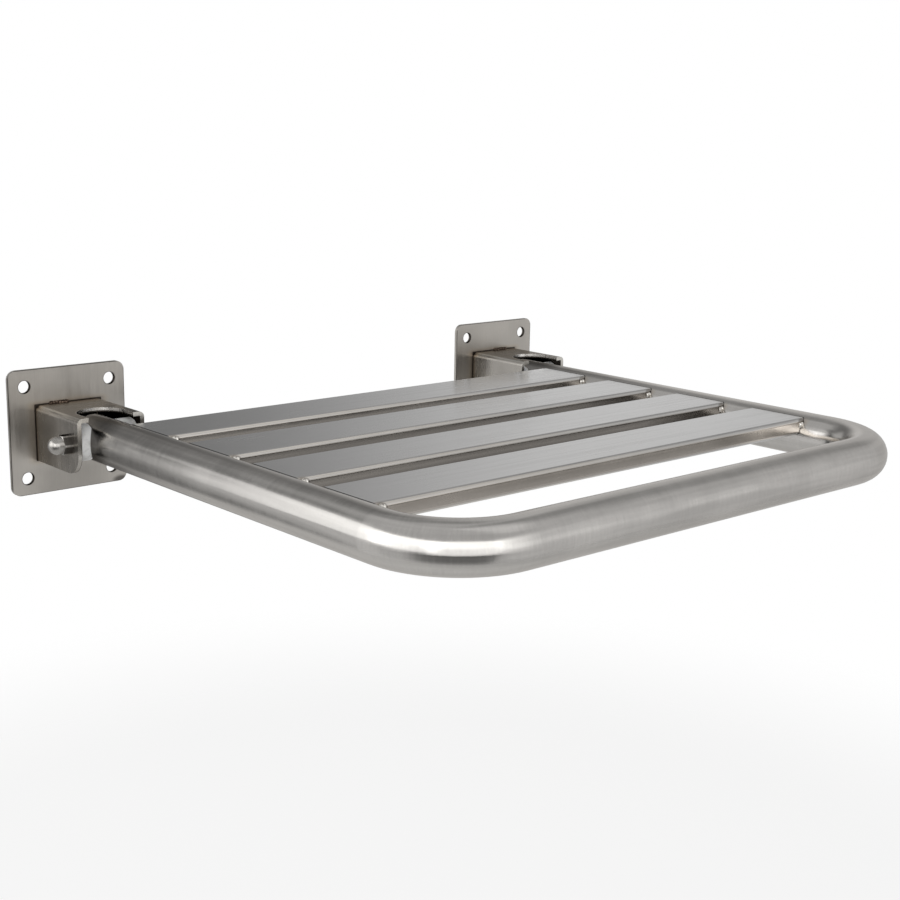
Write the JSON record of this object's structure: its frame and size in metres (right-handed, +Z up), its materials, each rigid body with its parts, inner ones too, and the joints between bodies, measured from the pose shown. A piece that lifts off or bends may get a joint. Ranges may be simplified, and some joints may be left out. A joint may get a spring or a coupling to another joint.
{
  "type": "fold down wall seat",
  "caption": "Fold-down wall seat: a bent round tube frame with flat cross slats, hinged between clevis brackets on two square wall plates.",
  "frame": {"origin": "on the face of the wall, midway between the two wall plates, level with the hinge bolts and the plates' centres", "axes": "+X along the wall to the right as seen by someone facing the wall, +Y into the wall, +Z up"},
  "size_m": [0.508, 0.43, 0.09],
  "materials": {
    "plate_steel": "fine brushed stainless sheet, satin",
    "bracket_steel": "fine brushed stainless sheet, satin, heat tint near the seams",
    "tube_steel": "satin stainless tube, fine grain round the tube",
    "slat_steel": "satin stainless, fine grain along the slat",
    "fastener_steel": "bright stainless fastener",
    "weld_metal": "rippled weld bead, slightly tinted",
    "nylon": "natural light grey nylon"
  },
  "bodies": {
    "wall_brackets": {"left_wall_plate": "plate_steel", "right_wall_plate": "plate_steel", "left_hinge_bracket": "bracket_steel", "right_hinge_bracket": "bracket_steel", "left_bracket_welds": "weld_metal", "right_bracket_welds": "weld_metal", "left_hinge_bolt": "fastener_steel", "right_hinge_bolt": "fastener_steel", "left_dome_nut": "fastener_steel", "right_dome_nut": "fastener_steel"},
    "seat": {"seat_frame_tube": "tube_steel", "left_outer_bush": "nylon", "left_inner_bush": "nylon", "right_outer_bush": "nylon", "right_inner_bush": "nylon", "slat_1": "slat_steel", "slat_2": "slat_steel", "slat_3": "slat_steel", "slat_4": "slat_steel", "slat_1_welds": "weld_metal", "slat_2_welds": "weld_metal", "slat_3_welds": "weld_metal", "slat_4_welds": "weld_metal"}
  },
  "joints": [
    {"name": "seat_fold", "type": "hinge", "parent": "wall_brackets", "child": "seat", "pos_m": [0, -0.052, 0], "axis": [-1, 0, 0], "range_deg": [0, 92]}
  ]
}
